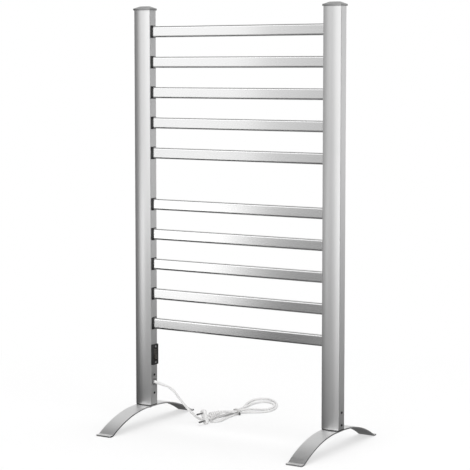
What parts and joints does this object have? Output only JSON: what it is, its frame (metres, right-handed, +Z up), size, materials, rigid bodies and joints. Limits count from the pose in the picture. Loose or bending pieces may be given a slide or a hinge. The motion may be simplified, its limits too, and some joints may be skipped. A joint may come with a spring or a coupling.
{
  "type": "towel warmer rack",
  "caption": "Free-standing electric towel warmer: heated flat bars between two aluminium posts on arched feet, with a rocker switch and a corded plug.",
  "frame": {"origin": "on the floor, midway between the posts and midway between the feet's tips", "axes": "+Z up; +X from the post with the switch to the other post; -Y is the front, the side of the bowed post covers"},
  "size_m": [0.5314, 0.5355, 0.95],
  "materials": {
    "post_aluminium": "satin anodised extrusion",
    "bar_aluminium": "satin anodised, brushed along its length",
    "foot_aluminium": "brushed strip",
    "cap_plastic": "moulded, satin",
    "black_plastic": "moulded, fine texture",
    "grey_plastic": "moulded, fine texture",
    "rocker_plastic": "moulded, half gloss",
    "steel": "zinc plated",
    "black_steel": "blackened",
    "brass": "plain",
    "silicone": "extruded silicone",
    "wire_sleeve": "fibreglass and silicone sleeve",
    "terminal_plastic": "moulded",
    "cord_pvc": "soft extruded sheath",
    "plug_pvc": "moulded, satin",
    "plug_pins": "nickel plated",
    "tie": "soft plastic over a wire"
  },
  "bodies": {
    "rack": {"left_post": "post_aluminium", "right_post": "post_aluminium", "left_post_cover": "post_aluminium", "right_post_cover": "post_aluminium", "bar_01": "bar_aluminium", "bar_02": "bar_aluminium", "bar_03": "bar_aluminium", "bar_04": "bar_aluminium", "bar_05": "bar_aluminium", "bar_06": "bar_aluminium", "bar_07": "bar_aluminium", "bar_08": "bar_aluminium", "bar_09": "bar_aluminium", "bar_10": "bar_aluminium", "left_foot": "foot_aluminium", "right_foot": "foot_aluminium", "left_post_cap": "cap_plastic", "right_post_cap": "cap_plastic", "left_base_plug": "black_plastic", "right_base_plug": "black_plastic", "left_bar_bushes": "black_plastic", "right_bar_bushes": "black_plastic", "switch_plate": "black_plastic", "switch_body": "black_plastic", "cord_clamp": "black_plastic", "cord_grommet": "grey_plastic", "foot_bolts": "steel", "foot_washers": "steel", "foot_nuts": "steel", "switch_screws": "steel", "left_bar_clips": "steel", "right_bar_clips": "steel", "base_plug_screws": "black_steel", "cord_clamp_screw": "black_steel", "switch_terminals": "brass", "heating_elements": "silicone", "heater_spacers": "silicone", "left_wiring_loom": "wire_sleeve", "right_wiring_loom": "wire_sleeve", "switch_leads": "wire_sleeve", "terminal_block": "terminal_plastic", "thermal_cutout": "terminal_plastic", "inner_cord": "cord_pvc", "cord_lead": "cord_pvc", "cord_tail": "cord_pvc", "cord_hank": "cord_pvc", "cord_relief": "cord_pvc", "plug_body": "plug_pvc", "plug_grip": "plug_pvc", "plug_pins": "plug_pins", "cord_tie": "tie"},
    "rocker": {"switch_rocker": "rocker_plastic"}
  },
  "joints": [
    {"name": "switch_rock", "type": "hinge", "parent": "rack", "child": "rocker", "pos_m": [-0.2235, 0, 0.161], "axis": [0, 1, 0], "range_deg": [0, 14]}
  ]
}
